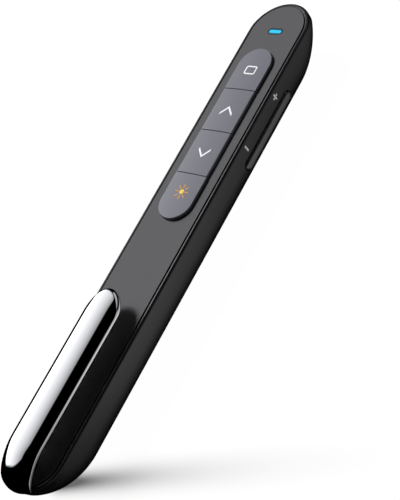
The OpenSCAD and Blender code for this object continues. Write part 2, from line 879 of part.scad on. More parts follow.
// Insulator with the four contacts, on the upper side of the plug
module receiver_tongue() {
    y0 = cap_y0 - plug_l + tongue_setback;
    y1 = cap_y0 - plug_wall;
    w = plug_w / 2 - plug_wall;
    top = dongle_z + plug_t / 2 - plug_wall;
    color("#e8e8e4") difference() {
        box([-w, y0, top - tongue_t], [w, y1, top]);
        for (i = [0 : 3]) translate([(i - 1.5) * pin_pitch, (y0 + y1) / 2, top - tongue_t])
            cube([pin_w, pin_l, plug_wall], center = true);
    }
}

lower_case();
face_plate();
led_lens();
key(0);  // key_blank
key(1);  // key_page_up
key(2);  // key_page_down
key(3);  // key_laser
volume_rocker();
power_slider();
clip();
clip_screw();
main_board();
board_screws();
key_domes();
volume_switches();
slide_switch();
radio_chip();
crystal();
status_led();
laser_barrel();
laser_diode();
laser_lens();
laser_window();
battery_cell();
contact_plus();
contact_minus();
battery_spring();
battery_lead();
battery_cover();
receiver_cap();
receiver_shell();
receiver_tongue();
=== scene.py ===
import math

import bmesh
import bpy
from mathutils import Matrix, Vector


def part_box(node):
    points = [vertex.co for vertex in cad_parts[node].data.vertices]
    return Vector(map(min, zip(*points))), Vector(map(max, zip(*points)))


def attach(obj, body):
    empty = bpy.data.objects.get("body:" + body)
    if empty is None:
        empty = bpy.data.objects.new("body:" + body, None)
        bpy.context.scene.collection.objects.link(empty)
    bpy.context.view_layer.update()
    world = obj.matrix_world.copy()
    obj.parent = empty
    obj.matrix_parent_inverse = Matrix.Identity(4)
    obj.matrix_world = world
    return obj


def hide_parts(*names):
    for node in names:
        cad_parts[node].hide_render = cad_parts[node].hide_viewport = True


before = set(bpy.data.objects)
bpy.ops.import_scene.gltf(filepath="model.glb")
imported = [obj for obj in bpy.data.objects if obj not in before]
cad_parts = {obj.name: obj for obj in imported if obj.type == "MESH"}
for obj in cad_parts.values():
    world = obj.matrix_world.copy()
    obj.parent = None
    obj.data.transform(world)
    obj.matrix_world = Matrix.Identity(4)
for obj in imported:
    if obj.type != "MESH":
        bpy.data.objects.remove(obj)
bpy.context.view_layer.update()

mm = 0.001


# ---- Lower case ----
# The black tub: back, sides and the rim round the face, with its ribs, posts and rails.
# Injection moulded in ABS with a fine spark-eroded texture. The board and plate close it.


def linear(code):
    """Linear colour of an sRGB hex code."""
    parts = [int(code[i:i + 2], 16) / 255 for i in (1, 3, 5)]
    return [p / 12.92 if p <= 0.04045 else ((p + 0.055) / 1.055) ** 2.4 for p in parts] + [1.0]


def add(tree, kind, inputs=None, **settings):
    """Adds a node with its settings. An input is a number, a colour, the socket that feeds it, or a
    node whose first output does."""
    made = tree.nodes.new(kind)
    for name, value in settings.items():
        setattr(made, name, value)
    for name, value in (inputs or {}).items():
        source = value.outputs[0] if isinstance(value, bpy.types.Node) else value
        if isinstance(source, bpy.types.NodeSocket):
            tree.links.new(source, made.inputs[name])
        else:
            made.inputs[name].default_value = source
    return made


def material(name, code, **sockets):
    """A new material of one colour. Its shader's other sockets are given with _ for a space."""
    made = bpy.data.materials.new(name)
    made.use_nodes = True
    shader = made.node_tree.nodes["Principled BSDF"]
    shader.inputs["Base Color"].default_value = linear(code)
    for socket, value in sockets.items():
        shader.inputs[socket.replace("_", " ")].default_value = value
    return made


def grained(made, roughness, spread, grain, depth, stretch=(1, 1, 1)):
    """Gives a material a surface: bumps grain mm wide and depth mm high, drawn out by stretch, and a
    roughness that wanders by spread as handling wears it. Returns the height of the bumps."""
    worn_width = 9
    tree = made.node_tree
    shader = tree.nodes["Principled BSDF"]
    at = add(tree, "ShaderNodeTexCoord").outputs["Object"]
    squeeze = [1 / s for s in stretch]
    drawn = add(tree, "ShaderNodeVectorMath", {0: at, 1: squeeze}, operation="MULTIPLY")
    fine = add(tree, "ShaderNodeTexNoise", {
        "Vector": drawn, "Scale": 1 / (grain * mm), "Detail": 3.0}).outputs["Fac"]
    broad = add(tree, "ShaderNodeTexNoise", {
        "Vector": at, "Scale": 1 / (worn_width * mm), "Detail": 2.0})
    rough = add(tree, "ShaderNodeMapRange", {
        "Value": broad.outputs["Fac"], "From Min": 0.0, "From Max": 1.0,
        "To Min": roughness - 2 * spread, "To Max": roughness + 2 * spread})
    bump = add(tree, "ShaderNodeBump", {"Height": fine, "Strength": 1.0, "Distance": depth * mm})
    tree.links.new(rough.outputs["Result"], shader.inputs["Roughness"])
    tree.links.new(bump.outputs["Normal"], shader.inputs["Normal"])
    return fine


def tinted(made, factor, code, light):
    """Lets a material's colour run from code to light by factor."""
    tree = made.node_tree
    tint = add(tree, "ShaderNodeMix", {
        "Factor": factor, "A": linear(code), "B": linear(light)}, data_type="RGBA")
    tree.links.new(tint.outputs["Result"], tree.nodes["Principled BSDF"].inputs["Base Color"])
    return made


def moulded(name, code, light, roughness, spread, grain, depth, **sockets):
    """Plastic from a textured mould, a little lighter on the crests of its grain."""
    made = material(name, code, **sockets)
    return tinted(made, grained(made, roughness, spread, grain, depth), code, light)


# An edge that turns by more than sharp_turn is shaded sharp, and one over hard_turn can be rounded
sharp_turn = math.radians(35)
hard_turn = math.radians(40)


def place(title, mesh, body, surface, nodes, even=True):
    """Makes a finished bmesh a piece that rides on body and stands for CAD nodes. Sharp edges stay
    sharp, and even keeps flat faces flat beside their rounded edges."""
    for face in mesh.faces:
        face.smooth = True
    for edge in mesh.edges:
        edge.smooth = len(edge.link_faces) == 2 and edge.calc_face_angle(0) < sharp_turn
    data = bpy.data.meshes.new(title)
    mesh.to_mesh(data)
    mesh.free()
    data.materials.append(surface)
    piece = bpy.data.objects.new(title, data)
    bpy.context.scene.collection.objects.link(piece)
    if even:
        piece.modifiers.new("even shading", "WEIGHTED_NORMAL").keep_sharp = True
    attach(piece, body)
    if nodes:
        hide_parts(*nodes)


def joined(node):
    """A copy of a CAD node with its triangles joined into flat faces."""
    mesh = bmesh.new()
    mesh.from_mesh(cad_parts[node].data)
    bmesh.ops.remove_doubles(mesh, verts=mesh.verts, dist=0.001 * mm)
    bmesh.ops.dissolve_limit(
        mesh, angle_limit=math.radians(0.3), verts=mesh.verts, edges=mesh.edges)
    return mesh


def rounded(mesh, width, segments, picks):
    """Rounds the hard edges that picks accepts, by width in mm."""
    hard = [e for e in mesh.edges
            if len(e.link_faces) == 2 and e.calc_face_angle(0) > hard_turn and picks(e)]
    bmesh.ops.bevel(
        mesh, geom=hard, offset=width * mm, offset_type="OFFSET", affect="EDGES", segments=segments,
        profile=0.5, material=-1, clamp_overlap=True)
    return mesh


def whole(edge, axis, low, high):
    """True if an edge lies between low and high on an axis, in mm."""
    return all(low <= v.co[axis] / mm <= high for v in edge.verts)


X = 0
Z = 2
slack = 0.01  # In mm, for finding an edge or a face by its place
rim_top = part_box("lower_case")[1].z / mm
rim_inner = 9.95  # The rim's inner edge lies nearer than this to the middle line
rim_fall = 0.13
rim_inward = 0.15
ends_y = 71.5  # Centres of the round ends

# Black ABS has nearly no colour of its own: the eye reads it by soft, even highlights. Its grain,
# as on the other finishes, is finer in life, and is drawn as coarse as it needs to show.
case_abs = moulded("black ABS, spark-eroded texture", "#101011", "#161617", 0.31, 0.015, 0.35, 0.004)
tub = joined("lower_case")
# The rim's top falls a little towards the plate
top_faces = [f for f in tub.faces if f.calc_center_median().z > (rim_top - slack) * mm]
bmesh.ops.triangulate(tub, faces=top_faces)
for vert in tub.verts:
    past_end = math.copysign(max(0, abs(vert.co.y) - ends_y * mm), vert.co.y)
    from_axis = Vector((vert.co.x, past_end, 0))
    if vert.co.z > (rim_top - slack) * mm and from_axis.length < rim_inner * mm:
        vert.co -= from_axis.normalized() * rim_inward * mm + Vector((0, 0, rim_fall * mm))
rounded(tub, 0.08, 2, lambda e: whole(e, Z, rim_top - rim_fall - slack, rim_top + slack))
place("case_tub", tub, "body", case_abs, ["lower_case"])


# ---- Laser ----
# A turned barrel in the cradles behind the nose, with the diode's can pressed in its tail end and
# a moulded lens before it. A red window closes the bore in the nose.

# Turned brass: warm, with the fine rings that the tool leaves. A wave texture's rings are
# pi / 10 apart at a scale of 1.
ring_pitch = 0.25
brass = material("turned brass", "#c9a24f", Metallic=1.0, Roughness=0.28)
tree = brass.node_tree
at = add(tree, "ShaderNodeTexCoord").outputs["Object"]
rings = add(tree, "ShaderNodeTexWave", {
    "Vector": at, "Scale": math.pi / 10 / (ring_pitch * mm), "Distortion": 0.4}, bands_direction="Y")
ring_bump = add(tree, "ShaderNodeBump", {
    "Height": rings.outputs["Fac"], "Strength": 0.6, "Distance": 0.01 * mm})
tree.links.new(ring_bump.outputs["Normal"], tree.nodes["Principled BSDF"].inputs["Normal"])
barrel = rounded(joined("laser_barrel"), 0.15, 2, lambda e: True)
place("laser_barrel_turned", barrel, "body", brass, ["laser_barrel"])

# Gold flash on a drawn can: bright and warm, with faint draw marks along it.
gold_flash = material("gold-flashed drawn steel", "#d9b56a", Metallic=1.0)
grained(gold_flash, 0.22, 0.05, 0.2, 0.002, (1, 12, 1))
place("laser_diode_can", joined("laser_diode"), "body", gold_flash, ["laser_diode"])

# Moulded optical acrylic: clear, with one sharp highlight and the least waviness.
optic = material("polished optical acrylic", "#dfeef2", IOR=1.49, Transmission_Weight=1.0)
grained(optic, 0.02, 0.01, 1.5, 0.001)
place("laser_lens_polished", joined("laser_lens"), "body", optic, ["laser_lens"])

# Dyed acrylic: a deep red that looks black until light comes through it.
red_acrylic = material("red-dyed acrylic", "#c01410", IOR=1.49, Transmission_Weight=0.6)
grained(red_acrylic, 0.08, 0.03, 0.8, 0.002)
place("laser_window_disc", joined("laser_window"), "body", red_acrylic, ["laser_window"])


# ---- Contacts ----
# Stamped contact plates, the strip that leads to the board and the cone spring. Spring steel,
# nickel plated after forming, held on the bulkheads by their own bend.

# Nickel plate: yellower than steel, with rolling marks under the plating.
nickel = material("nickel-plated spring steel", "#c4c2ba", Metallic=1.0)
grained(nickel, 0.25, 0.08, 0.15, 0.002, (20, 1, 1))
for node in ("contact_plus", "contact_minus", "battery_lead"):
    plate = rounded(joined(node), 0.08, 2, lambda e: e.calc_length() > 2 * mm)
    place(node + "_stamped", plate, "body", nickel, [node])
place("battery_spring_wound", joined("battery_spring"), "body", nickel,
      ["battery_spring"])


# ---- Board ----
# Glass-fibre board with everything it carries: four snap domes, two side-push switches, the
# slide switch, radio chip, crystal and light. Reflow soldered, and held by four screws.

track_pitch = 1.27
track_length = 4.8
track_width = 0.11
board_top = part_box("main_board")[1].z / mm

# Green solder mask over copper: glossy, with lighter lines where a track runs under it.
board_mask = material("FR4 with green solder mask", "#12602f")
grained(board_mask, 0.35, 0.06, 0.4, 0.003)
tree = board_mask.node_tree
at = add(tree, "ShaderNodeTexCoord").outputs["Object"]
tracks = add(tree, "ShaderNodeTexBrick", {
    "Vector": at, "Color1": linear("#0f5429"), "Color2": linear("#12602f"), "Mortar": linear("#2b8a4a"),
    "Scale": 1 / mm, "Mortar Size": track_width, "Brick Width": track_length,
    "Row Height": track_pitch})
tree.links.new(tracks.outputs["Color"], tree.nodes["Principled BSDF"].inputs["Base Color"])
board = rounded(joined("main_board"), 0.1, 1, lambda e: e.calc_length() > 5 * mm)
place("board_laminate", board, "body", board_mask, ["main_board"])

# Stamped stainless: grey and satin, brighter where the die has pressed it.
dome_steel = material("stamped stainless steel", "#b9b8b2", Metallic=1.0)
grained(dome_steel, 0.3, 0.08, 0.12, 0.002, (8, 1, 1))
domes = rounded(joined("key_domes"), 0.2, 3, lambda e: True)
place("key_domes_stamped", domes, "body", dome_steel, ["key_domes"])

# Glass-filled nylon: dull black with a dry, slightly grey skin of fibres.
nylon = moulded("black glass-filled nylon", "#161616", "#222222", 0.5, 0.05, 0.2, 0.005)
for node in ("volume_switches", "radio_chip"):
    block = rounded(joined(node), 0.12, 2, lambda e: e.calc_length() > 0.8 * mm)
    place(node + "_body", block, "body", nylon, [node])

# Tinned steel: soft white metal with a bloom from the tin bath.
tinned_can = material("tinned steel", "#b5b7ba", Metallic=1.0)
tinted(tinned_can, grained(tinned_can, 0.35, 0.1, 0.8, 0.002), "#a9acb1", "#c2c4c6")
for node in ("slide_switch", "crystal"):
    can = rounded(joined(node), 0.25, 3, lambda e: e.calc_length() > 0.8 * mm)
    place(node + "_can", can, "body", tinned_can, [node])

# Milky epoxy: a waxy white that glows a little at its edges.
led_epoxy = material("milky epoxy", "#e8e6dc", Subsurface_Weight=0.3, Subsurface_Scale=0.3 * mm)
grained(led_epoxy, 0.3, 0.05, 0.3, 0.002)
led_block = rounded(joined("status_led"), 0.1, 2, lambda e: True)
place("status_led_body", led_block, "body", led_epoxy, ["status_led"])

# Zinc plate: bluish grey with the faint grains of the plating.
zinc = material("zinc-plated steel", "#b4b6ba", Metallic=1.0)
tinted(zinc, grained(zinc, 0.3, 0.1, 0.25, 0.002), "#a8abb2", "#c0c1c4")
screws = rounded(joined("board_screws"), 0.2, 3, lambda e: whole(e, Z, board_top - slack, board_top + 1))
place("board_screws_zinc", screws, "body", zinc, ["board_screws"])


# ---- Side controls ----
# The long volume bar that rocks on two pegs, and the power slider on the other side. Moulded
# in ABS a shade lighter than the case, and trapped behind their slots.
bar_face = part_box("volume_rocker")[1].x / mm
knob_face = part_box("power_slider")[0].x / mm
knob_relief = 0.55

# Satin lacquer on charcoal ABS: a soft light band along the flat of the bar, dark where it rounds.
control_abs = moulded(
    "satin-lacquered charcoal ABS", "#202022", "#28282a", 0.31, 0.015, 0.35, 0.003, IOR=1.75,
    Coat_Weight=1.0, Coat_Roughness=0.2)
bar = rounded(joined("volume_rocker"), 1.2, 10, lambda e: whole(e, X, bar_face - slack, bar_face + slack))
place("volume_bar", bar, "rocker", control_abs, ["volume_rocker"])
knob = rounded(
    joined("power_slider"), 0.15, 2, lambda e: whole(e, X, knob_face - slack, knob_face + knob_relief))
place("power_knob", knob, "slider", control_abs, ["power_slider"])


# ---- Keys ----
# Four caps in one round-ended strip, each on its own dome. Moulded in grey ABS with a satin
# top that is crowned a little, so the strip feels soft under the thumb.
key_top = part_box("key_blank")[1].z / mm
key_half = 5.95
key_crown = 0.2
strip_middle = (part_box("key_laser")[0].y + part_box("key_blank")[1].y) / 2 / mm
splits_reach = 20  # The strip's round ends start further than this from its middle

# Satin grey ABS: even and cool, lighter on the side that leans to the light.
key_abs = moulded("grey ABS, satin", "#6f7078", "#75767f", 0.42, 0.04, 0.35, 0.003)


def crowned(mesh):
    """Bends the top of a cap into a shallow arch across the strip."""
    for cut in range(-5, 6):
        every = mesh.verts[:] + mesh.edges[:] + mesh.faces[:]
        bmesh.ops.bisect_plane(
            mesh, geom=every, plane_co=(cut * mm, 0, 0), plane_no=(1, 0, 0), dist=0.001 * mm)
    for vert in mesh.verts:
        if vert.co.z > (key_top - slack) * mm:
            vert.co.z -= key_crown * mm * (vert.co.x / mm / key_half) ** 2
    return mesh


def at_split(edge):
    """True on the straight edges where two caps meet."""
    first, second = (v.co.y / mm for v in edge.verts)
    return abs(first - second) < slack and abs(first - strip_middle) < splits_reach


def at_top(edge):
    """True on the edges round the crowned top of a cap."""
    return whole(edge, Z, key_top - key_crown - slack, key_top + slack)


for node, body in (("key_blank", "blank_key"), ("key_page_up", "page_up_key"),
                   ("key_page_down", "page_down_key"), ("key_laser", "laser_key")):
    cap = crowned(joined(node))
    rounded(cap, 0.3, 4, lambda e: at_top(e) and not at_split(e))
    rounded(cap, 0.05, 2, lambda e: at_top(e) and at_split(e))
    place(node + "_cap", cap, body, key_abs, [node])


# ---- Signs on the keys ----
# Square, chevrons and sun, pad printed on the caps in thin opaque ink that stands a few
# hundredths of a millimetre above the plastic.
ink_sunk = 0.04
ink_proud = 0.02
square_width = 4.2
square_depth = 3.1
square_corner = 0.7
square_line = 0.45
chevron_line = 0.84  # Measured along Y
sun_x = 0.3
sun_y = 11.6
sun_radius = 0.8
ray_count = 8
ray_width = 0.36
ray_length = 1.3
ray_middle = 1.9

# Pad-printing ink: flat and chalky, its film a little uneven.
white_ink = moulded("white pad-printing ink", "#f4f4f6", "#ffffff", 0.5, 0.05, 0.25, 0.002)
golden_ink = moulded("golden pad-printing ink", "#cf9440", "#dba552", 0.5, 0.05, 0.25, 0.002)
yellow_ink = moulded("yellow pad-printing ink", "#f3c84e", "#f7d468", 0.5, 0.05, 0.25, 0.002)


def new_verts(grown):
    """The vertices that an extrusion has made."""
    return [v for v in grown["geom"] if isinstance(v, bmesh.types.BMVert)]


def inked(mesh):
    """Gives a flat symbol the thickness of its ink, sunk a little below z = 0."""
    grown = bmesh.ops.extrude_face_region(mesh, geom=mesh.faces[:])
    bmesh.ops.translate(mesh, verts=new_verts(grown), vec=(0, 0, (ink_sunk + ink_proud) * mm))
    bmesh.ops.translate(mesh, verts=mesh.verts, vec=(0, 0, -ink_sunk * mm))
    bmesh.ops.recalc_face_normals(mesh, faces=mesh.faces)


def on_key(title, mesh, body, ink, x, y):
    """Prints a flat symbol on a cap, centred at x, y."""
    inked(mesh)
    bmesh.ops.translate(mesh, verts=mesh.verts, vec=(x * mm, y * mm, key_top * mm))
    place(title, mesh, body, ink, [])


def bar_shape(mesh, width, length, turn, out):
    """Adds a flat bar along Y, its middle out mm from the centre, turned by turn degrees."""
    verts = bmesh.ops.create_grid(mesh, x_segments=1, y_segments=1, size=0.5)["verts"]
    bmesh.ops.scale(mesh, verts=verts, vec=(width * mm, length * mm, 1))
    bmesh.ops.translate(mesh, verts=verts, vec=(0, out * mm, 0))
    bmesh.ops.rotate(
        mesh, verts=verts, cent=(0, 0, 0), matrix=Matrix.Rotation(math.radians(turn), 3, "Z"))


# Rounded square, for a blank screen
mesh = bmesh.new()
bmesh.ops.create_grid(mesh, x_segments=1, y_segments=1, size=0.5)
bmesh.ops.scale(mesh, verts=mesh.verts, vec=(square_width * mm, square_depth * mm, 1))
bmesh.ops.bevel(
    mesh, geom=mesh.verts[:], offset=square_corner * mm, offset_type="OFFSET", affect="VERTICES",
    segments=6, profile=0.5, material=-1)
ring = bmesh.ops.inset_individual(
    mesh, faces=mesh.faces[:], thickness=square_line * mm, use_even_offset=True)["faces"]
bmesh.ops.delete(mesh, geom=[f for f in mesh.faces if f not in ring], context="FACES")
on_key("square_print", mesh, "blank_key", white_ink, 0.2, 55.5)


def chevron(title, body, ends, apex):
    """Two strokes that meet at apex."""
    mesh = bmesh.new()
    points = [mesh.verts.new((x * mm, y * mm, 0)) for x, y in (ends[0], apex, ends[1])]
    strokes = [mesh.edges.new(points[0:2]), mesh.edges.new(points[1:3])]
    grown = bmesh.ops.extrude_edge_only(mesh, edges=strokes)
    bmesh.ops.translate(mesh, verts=new_verts(grown), vec=(0, chevron_line * mm, 0))
    bmesh.ops.translate(mesh, verts=mesh.verts, vec=(0, -chevron_line / 2 * mm, 0))
    on_key(title, mesh, body, white_ink, 0, 0)


chevron("chevron_up_print", "page_up_key", ((-2.2, 39.2), (2.5, 39.1)), (0.1, 41.7))
chevron("chevron_down_print", "page_down_key", ((-2.2, 26.5), (2.3, 26.5)), (0.1, 24.0))

# Sun, for the laser: a small disc with eight rays
mesh = bmesh.new()
for ray in range(ray_count):
    bar_shape(mesh, ray_width, ray_length, 360 / ray_count * ray, ray_middle)
on_key("sun_rays_print", mesh, "laser_key", golden_ink, sun_x, sun_y)
mesh = bmesh.new()
bmesh.ops.create_circle(mesh, cap_ends=True, segments=24, radius=sun_radius * mm)
on_key("sun_disc_print", mesh, "laser_key", yellow_ink, sun_x, sun_y)


# ---- Signs on the side ----
# Plus and minus beside the ends of the volume bar, pad printed on the case in the same white
# ink. The plus is one long bar with an arm on each side, so that no ink lies over ink.
wall_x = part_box("lower_case")[1].x / mm
sign_length = 2.2
plus_line = 0.56
minus_line = 0.62
arm = (sign_length - plus_line) / 2
arm_middle = (plus_line + arm) / 2


def on_side(title, bars, y, z):
    """Prints a sign on the right wall, centred at y, z. A bar is width, length, turn and out."""
    mesh = bmesh.new()
    for width, length, turn, out in bars:
        bar_shape(mesh, width, length, turn, out)
    inked(mesh)
    bmesh.ops.rotate(
        mesh, verts=mesh.verts, cent=(0, 0, 0), matrix=Matrix(((0, 0, 1), (1, 0, 0), (0, 1, 0))))
    bmesh.ops.translate(mesh, verts=mesh.verts, vec=(wall_x * mm, y * mm, z * mm))
    place(title, mesh, "body", white_ink, [])


arms = [(plus_line, arm, turn, arm_middle) for turn in (90, -90)]
on_side("plus_print", [(plus_line, sign_length, 0, 0)] + arms, 49.5, 12.3)
on_side("minus_print", [(minus_line, sign_length, 0, 0)], 31.0, 12.2)


# ---- Status window ----
# Lozenge that leads the light from the board to the face, moulded in tinted acrylic and
# pressed into the plate from behind.
window_y = (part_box("led_lens")[0].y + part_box("led_lens")[1].y) / 2 / mm
window_axis = 1.65  # Half the distance between the centres of its round ends
border_start = 0.45
border_end = 0.7
plate_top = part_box("face_plate")[1].z / mm

# Tinted acrylic with a painted glow as if lit from below, and painted shade at its border
cyan_acrylic = material("cyan acrylic light window", "#0fb2e0", IOR=1.49, Emission_Strength=0.3)
grained(cyan_acrylic, 0.15, 0.03, 0.4, 0.001)
tree = cyan_acrylic.node_tree
at = add(tree, "ShaderNodeTexCoord").outputs["Object"]
middle = add(tree, "ShaderNodeVectorMath", {0: at, 1: (0, window_y * mm, 0)}, operation="SUBTRACT")
mirrored = add(tree, "ShaderNodeVectorMath", {0: middle}, operation="ABSOLUTE")
# A metre is taken from the height, so that it doesn't count
past = add(tree, "ShaderNodeVectorMath", {
    0: mirrored, 1: (window_axis * mm, 0, 1)}, operation="SUBTRACT")
outward = add(tree, "ShaderNodeVectorMath", {0: past, 1: (0, 0, 0)}, operation="MAXIMUM")
from_axis = add(tree, "ShaderNodeVectorMath", {0: outward}, operation="LENGTH")
border = add(tree, "ShaderNodeMapRange", {
    "Value": from_axis.outputs["Value"], "From Min": border_start * mm, "From Max": border_end * mm})
shader = tree.nodes["Principled BSDF"]
# Painted shade: colour and glow run from the bright middle to dark where the plate would shade it
for socket, core, edge in (
        ("Base Color", "#0fb2e0", "#143c48"), ("Emission Color", "#30d0f8", "#04161c")):
    shade = add(tree, "ShaderNodeMix", {
        "Factor": border, "A": linear(core), "B": linear(edge)}, data_type="RGBA")
    tree.links.new(shade.outputs["Result"], shader.inputs[socket])


def at_plate_top(edge):
    """True on the edges in the plane of the plate's top."""
    return whole(edge, Z, plate_top - slack, plate_top + slack)


window = rounded(joined("led_lens"), 0.12, 2, at_plate_top)
place("status_window", window, "body", cyan_acrylic, ["led_lens"])


# ---- Face plate ----
# The cover that carries keys and window, let into the rim with a fine groove round it and
# snapped under the ledge by eight hooks. Moulded in ABS and sprayed.

# Soft-touch paint: a dense matte grey that spreads the light and hides the mould's texture.
soft_touch = moulded(
    "soft-touch paint on ABS", "#5c5c5e", "#616163", 0.6, 0.04, 0.35, 0.004, Specular_IOR_Level=0.12)
face = rounded(joined("face_plate"), 0.2, 3, at_plate_top)
place("face_cover", face, "body", soft_touch, ["face_plate"])


# ---- Clip ----
# Domed bar with a round, upturned tip, bent down over the tail, with the foot that its screw
# pulls into the case. Moulded in one piece in ABS and chrome plated.
clip_start, clip_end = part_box("clip")
screw_start, screw_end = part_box("clip_screw")
clip_half = clip_end.x
clip_tip = clip_end.y
clip_ridge = clip_end.z  # Height of the middle of the dome
clip_under = 18.85 * mm
clip_side = 0.6 * mm  # Thickness of the bar at its sides
clip_low = (plate_top + 0.2) * mm  # The bend ends this high, just clear of the plate
end_centre = -ends_y * mm
end_radius = end_centre - clip_start.y
bend_length = 12 * mm
bend_wall = 1.2 * mm  # Thickness of the bar down the bend
bend_power = 1.6  # The bend would be straight at 1 and a quarter circle at 2
bend_ease = 0.15  # How gently it starts
under_round = 0.1  # Rounding of the lower edge, as a share of the side
tip_start = 0.3  # From here on, along the bar, its outline rounds to the tip
tip_length = 8 * mm
tip_round = 1.6 * mm
tip_steep = 0.75  # The tip's upper edge drops by this share of a full rounding
tip_lift = 2 * mm
lift_length = 7 * mm
under_lift = 0.6  # The underside turns up by this share of what the sides do
foot_width = 5.6 * mm
foot_depth = 4.4 * mm
foot_top = 18.7 * mm
screw_head = 1.2 * mm


def edge_drop(depth, radius):
    """How far a rounded edge has fallen at this depth inside the outline."""
    return radius - math.sqrt(radius ** 2 - (radius - depth) ** 2) if depth < radius else 0


def clip_point(across, along, upper):
    """Point of the clip, with across and along from -1 to 1, on its upper or its under side."""
    top_round = 0
    x = clip_half * math.sin(across * math.pi / 2)
    dome = math.cos(across * math.pi / 2)
    end_y = end_centre - math.sqrt(end_radius ** 2 - x ** 2)
    bend_y = end_y + bend_length
    tip_y = clip_tip - tip_length
    if along > tip_start:
        turn = (along - tip_start) / (1 - tip_start) * math.pi / 2
        x *= math.cos(turn)
        dome *= math.cos(turn)
        y = tip_y + tip_length * math.sin(turn)
        top_round = tip_round * math.sin(turn)
    elif along > -tip_start:
        y = bend_y + (tip_y - bend_y) * (along + tip_start) / (2 * tip_start)
    else:
        turn = (-tip_start - along) / (1 - tip_start) * math.pi / 2
        y = bend_y - bend_length * math.sin(turn)
    past = max(0, bend_y - y)
    lift = tip_lift * max(0, (y - clip_tip + lift_length) / lift_length) ** 2

    def fall(length):
        """Share of its height that the bar still has at this point, on a bend of this length."""
        part = math.hypot(min(1, past / length), bend_ease) - bend_ease
        part /= math.hypot(1, bend_ease) - bend_ease
        return max(0, 1 - part ** bend_power) ** (1 / bend_power)

    depth = clip_half * (1 - math.sqrt(max(0, 1 - dome ** 2)))
    under_rise = clip_under + lift * under_lift - rim_top * mm
    under = max(clip_low, rim_top * mm + under_rise * fall(bend_length - bend_wall * dome))
    under += edge_drop(depth, (clip_side - top_round) * under_round)
    side = clip_under + lift + clip_side
    over = clip_low + (side + (clip_ridge - side) * dome - clip_low) * fall(bend_length)
    over -= edge_drop(depth, top_round) * tip_steep
    return x, y, max(under, over) if upper else under


mesh = bmesh.new()
bmesh.ops.create_grid(mesh, x_segments=40, y_segments=120, size=1.0)
grown = bmesh.ops.extrude_face_region(mesh, geom=mesh.faces[:], use_keep_orig=True)
bmesh.ops.translate(mesh, verts=new_verts(grown), vec=(0, 0, 1))
for vert in mesh.verts:
    vert.co = clip_point(vert.co.x, vert.co.y, vert.co.z > 0.5)
bmesh.ops.remove_doubles(mesh, verts=mesh.verts, dist=0.002 * mm)
bmesh.ops.dissolve_degenerate(mesh, edges=mesh.edges, dist=0.002 * mm)
bmesh.ops.recalc_face_normals(mesh, faces=mesh.faces)
foot = bmesh.ops.create_cube(mesh, size=1.0)["verts"]
bmesh.ops.scale(mesh, verts=foot, vec=(foot_width, foot_depth, foot_top - clip_start.z))
bmesh.ops.translate(
    mesh, verts=foot, vec=(0, (screw_start.y + screw_end.y) / 2, (foot_top + clip_start.z) / 2))
foot_edges = {e for v in foot for e in v.link_edges}
# Of the foot's edges, only the upright ones are longer than it is wide
rounded(mesh, 0.4, 4, lambda e: e in foot_edges and e.calc_length() > foot_width + slack * mm)

# Chrome plate: a mirror with the least waviness from the moulding under it.
chrome = material("chrome plate on ABS", "#d4d5d8", Metallic=1.0)
grained(chrome, 0.035, 0.015, 8.0, 0.0008)
place("clip_bar", mesh, "pocket_clip", chrome, ["clip"], even=False)
head_start = screw_start.z / mm - slack
head_end = (screw_start.z + screw_head) / mm + slack
clip_screw = rounded(joined("clip_screw"), 0.2, 3, lambda e: whole(e, Z, head_start, head_end))
place("clip_screw_zinc", clip_screw, "body", zinc, ["clip_screw"])


# ---- Cell and cover ----
# An AAA cell in its sleeve, laid on the rails of the case, under a curved cover with grip
# grooves. The cover is moulded in the same ABS as the case and let into its back.
cell_start, cell_end = (corner.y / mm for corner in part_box("battery_cell"))
cell_length = cell_end - cell_start
nub_length = 1.0
band_length = 7.9
door_wall = 1.6

# Printed shrink sleeve: glossy blue film, with a copper band at the plus end and bare steel
# on the nub.
sleeve = material("printed shrink sleeve", "#24406e")
grained(sleeve, 0.25, 0.04, 0.8, 0.003)
tree = sleeve.node_tree
at = add(tree, "ShaderNodeTexCoord").outputs["Object"]
length = add(tree, "ShaderNodeSeparateXYZ", {0: at}).outputs["Y"]
part = add(tree, "ShaderNodeMapRange", {
    "Value": length, "From Min": cell_start * mm, "From Max": cell_end * mm})
bands = add(tree, "ShaderNodeValToRGB", {"Fac": part})
bands.color_ramp.interpolation = "CONSTANT"
bands.color_ramp.elements[0].color = linear("#24406e")
bands.color_ramp.elements[1].position = 1 - (nub_length + band_length) / cell_length
bands.color_ramp.elements[1].color = linear("#a8683a")
nub = bands.color_ramp.elements.new(1 - nub_length / cell_length)
nub.color = linear("#b6b8ba")
tree.links.new(bands.outputs["Color"], tree.nodes["Principled BSDF"].inputs["Base Color"])
cell = rounded(joined("battery_cell"), 0.5, 4, lambda e: True)
place("cell_sleeve", cell, "body", sleeve, ["battery_cell"])
door = rounded(joined("battery_cover"), 0.12, 2, lambda e: whole(e, Z, -slack, door_wall))
place("battery_door", door, "cover", case_abs, ["battery_cover"])


# ---- Receiver ----
# USB receiver kept in a bay in the back: a black ABS cap to pull it by, a plug folded from
# steel sheet, and the white moulded blade in it.
grip = rounded(joined("receiver_cap"), 0.3, 3, lambda e: True)
place("receiver_grip", grip, "receiver", case_abs, ["receiver_cap"])

# Nickel-plated sheet: brushed along the plug before it is folded.
usb_steel = material("nickel-plated sheet steel", "#bfc0c4", Metallic=1.0)
grained(usb_steel, 0.22, 0.05, 0.12, 0.002, (1, 25, 1))
plug = rounded(joined("receiver_shell"), 0.1, 2, lambda e: e.calc_length() > 4 * mm)
place("receiver_plug", plug, "receiver", usb_steel, ["receiver_shell"])

# PBT: a dry off-white with a fine moulded skin.
pbt = moulded("white PBT", "#d6d5cd", "#e0dfd8", 0.45, 0.05, 0.3, 0.003)
place("receiver_blade", joined("receiver_tongue"), "receiver", pbt,
      ["receiver_tongue"])


